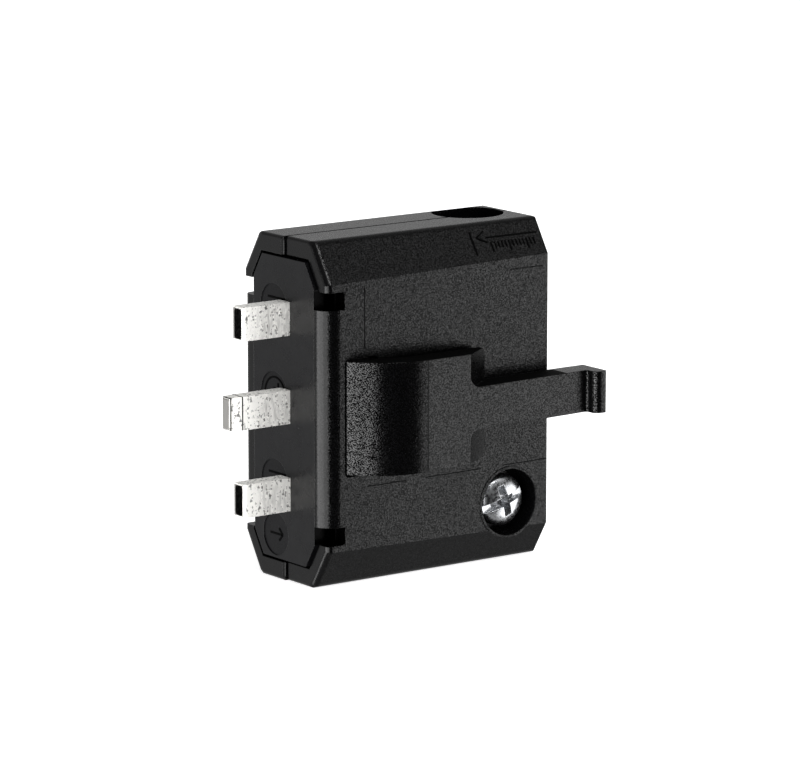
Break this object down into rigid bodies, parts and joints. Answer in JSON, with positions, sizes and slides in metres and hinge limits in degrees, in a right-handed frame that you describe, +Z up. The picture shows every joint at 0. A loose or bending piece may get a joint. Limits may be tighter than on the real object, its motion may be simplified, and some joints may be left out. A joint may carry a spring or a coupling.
{
  "type": "luminaire connector plug",
  "caption": "Flat black mains plug for a luminaire, with blades at one end, a sprung release latch on its front, a top cable hole and a screw that closes its shells.",
  "frame": {"origin": "bottom centre of the box round the whole part, on the surface that the plug stands on", "axes": "+Z up; the blades point to -X; the latch side faces -Y and the plain rear side +Y"},
  "size_m": [0.0445, 0.0204, 0.0393],
  "materials": {
    "black_polyamide": "spark-eroded fine grain, moulded polyamide",
    "carrier_polyamide": "smooth satin, moulded polyamide",
    "tinned_brass": "matt tin plate over brass",
    "clamp_brass": "bare drawn brass",
    "plated_steel": "bright zinc plate"
  },
  "bodies": {
    "root": {"front_housing": "black_polyamide", "rear_housing": "black_polyamide", "contact_carrier": "carrier_polyamide", "upper_contact": "tinned_brass", "earth_contact": "tinned_brass", "lower_contact": "tinned_brass", "upper_clamp": "clamp_brass", "earth_clamp": "clamp_brass", "lower_clamp": "clamp_brass", "upper_clamp_screw": "plated_steel", "earth_clamp_screw": "plated_steel", "lower_clamp_screw": "plated_steel", "housing_screw": "plated_steel"}
  },
  "joints": []
}
